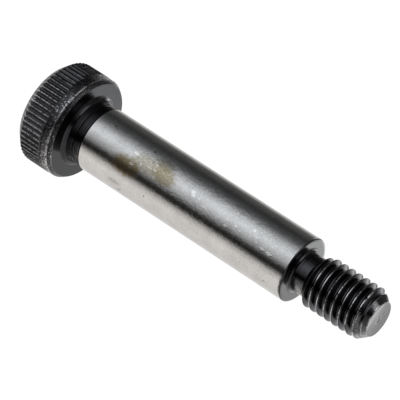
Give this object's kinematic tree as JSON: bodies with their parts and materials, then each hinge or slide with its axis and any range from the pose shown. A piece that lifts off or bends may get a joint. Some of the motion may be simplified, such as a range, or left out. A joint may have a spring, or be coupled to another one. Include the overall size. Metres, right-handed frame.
{
  "type": "shoulder bolt",
  "caption": "Hexagon socket head shoulder bolt: knurled round head, ground cylindrical shoulder and a smaller threaded end.",
  "frame": {"origin": "centre of the head's flat top, on which the bolt stands", "axes": "+Z along the bolt's axis from the head to the thread's tip; +X towards one corner of the hexagon socket"},
  "size_m": [0.0162, 0.0162, 0.0602],
  "materials": {
    "bolt_steel": "black oxide on head, necks and thread, worn bright along the edges; ground bright shoulder"
  },
  "bodies": {
    "root": {"shoulder_bolt": "bolt_steel"}
  },
  "joints": []
}
